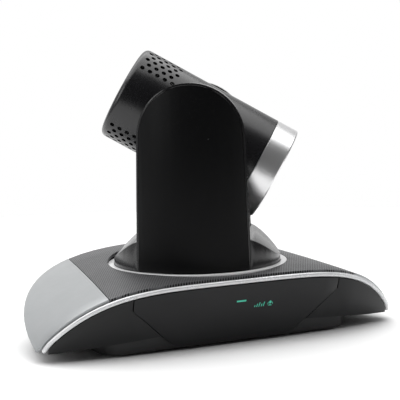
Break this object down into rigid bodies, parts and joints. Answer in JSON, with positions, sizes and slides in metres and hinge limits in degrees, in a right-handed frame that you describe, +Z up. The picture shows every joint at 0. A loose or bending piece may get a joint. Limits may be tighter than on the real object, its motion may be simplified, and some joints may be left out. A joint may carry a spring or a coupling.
{
  "type": "ptz camera",
  "caption": "Pan-tilt-zoom conference camera: winged table base, panning yoke with two arms and a tilting barrel head with a zoom lens.",
  "frame": {"origin": "on the pan axis, on the table, in the middle of the feet", "axes": "+Z up along the pan axis, -Y out of the base's front, +X along the right wing; stored panned 62.5 degrees towards +X and tilted 30 degrees down"},
  "size_m": [0.271, 0.1472, 0.2009],
  "materials": {
    "matte_black": "fine matte texture",
    "satin_black": "satin paint",
    "dark_grey": "matte",
    "silver_paint": "fine metallic paint",
    "bright_silver": "satin",
    "gloss_black": "gloss",
    "white_plastic": "satin",
    "rubber": "matte",
    "steel": "plain",
    "brass": "plain",
    "circuit_board": "solder mask",
    "lens_glass": "coated"
  },
  "bodies": {
    "base": {"base_tray": "matte_black", "rubber_foot_1": "rubber", "rubber_foot_2": "rubber", "rubber_foot_3": "rubber", "rubber_foot_4": "rubber", "tray_screw_1": "steel", "tray_screw_2": "steel", "tray_screw_3": "steel", "tray_screw_4": "steel", "tripod_insert": "brass", "hull": "dark_grey", "front_panel": "gloss_black", "front_trim": "bright_silver", "wing_cover_left": "silver_paint", "wing_cover_right": "silver_paint", "mesh_cover": "dark_grey", "rear_panel": "matte_black", "power_jack": "steel", "serial_socket": "steel", "lan_socket": "steel", "usb_socket": "steel", "hdmi_socket": "steel", "main_board": "circuit_board", "indicator_board": "circuit_board", "ir_receiver": "matte_black", "microphone_left": "steel", "microphone_right": "steel", "chassis": "steel", "pan_ring": "white_plastic", "pan_bearing": "steel", "pan_motor": "steel", "pan_belt": "rubber"},
    "pan_drive": {"pan_motor_pulley": "brass"},
    "pan_head": {"pan_shaft": "steel", "pan_pulley": "matte_black", "yoke": "satin_black", "arm_cover_left": "matte_black", "arm_cover_right": "matte_black", "tilt_bearing_left": "steel", "tilt_bearing_right": "steel", "tilt_motor": "steel", "tilt_belt": "rubber"},
    "tilt_drive": {"tilt_motor_pulley": "brass"},
    "tilt_head": {"tilt_shaft_left": "steel", "tilt_shaft_right": "steel", "tilt_pulley": "matte_black", "head_shell": "satin_black", "front_ring": "bright_silver", "lens_bezel": "matte_black", "lens_barrel": "satin_black", "front_lens": "lens_glass", "camera_block": "dark_grey", "guide_rod_1": "steel", "guide_rod_2": "steel", "image_sensor": "gloss_black", "sensor_board": "circuit_board"},
    "zoom_carriage": {"zoom_group": "lens_glass"},
    "focus_carriage": {"focus_group": "lens_glass"}
  },
  "joints": [
    {"name": "pan", "type": "hinge", "parent": "base", "child": "pan_head", "pos_m": [0, 0, 0], "axis": [0, 0, 1], "range_deg": [-232.5, 107.5]},
    {"name": "tilt", "type": "hinge", "parent": "pan_head", "child": "tilt_head", "pos_m": [0, 0, 0.141], "axis": [0.4617, 0.887, 0], "range_deg": [-120, 0]},
    {"name": "zoom", "type": "slide", "parent": "tilt_head", "child": "zoom_carriage", "axis": [0.7682, -0.3999, -0.5], "range_m": [-0.008, 0.009]},
    {"name": "focus", "type": "slide", "parent": "tilt_head", "child": "focus_carriage", "axis": [0.7682, -0.3999, -0.5], "range_m": [-0.01, 0.008]},
    {"name": "pan_drive_spin", "type": "hinge", "parent": "base", "child": "pan_drive", "pos_m": [-0.046, -0.014, 0.04], "axis": [0, 0, 1], "range_deg": [-1400, 656]},
    {"name": "tilt_drive_spin", "type": "hinge", "parent": "pan_head", "child": "tilt_drive", "pos_m": [0.023, 0.04417, 0.09], "axis": [0.4617, 0.887, 0], "range_deg": [-316, 4]}
  ],
  "couplings": [
    {"joint": "pan_drive_spin", "follows": "pan", "ratio": 6},
    {"joint": "tilt_drive_spin", "follows": "tilt", "ratio": 2.6}
  ]
}
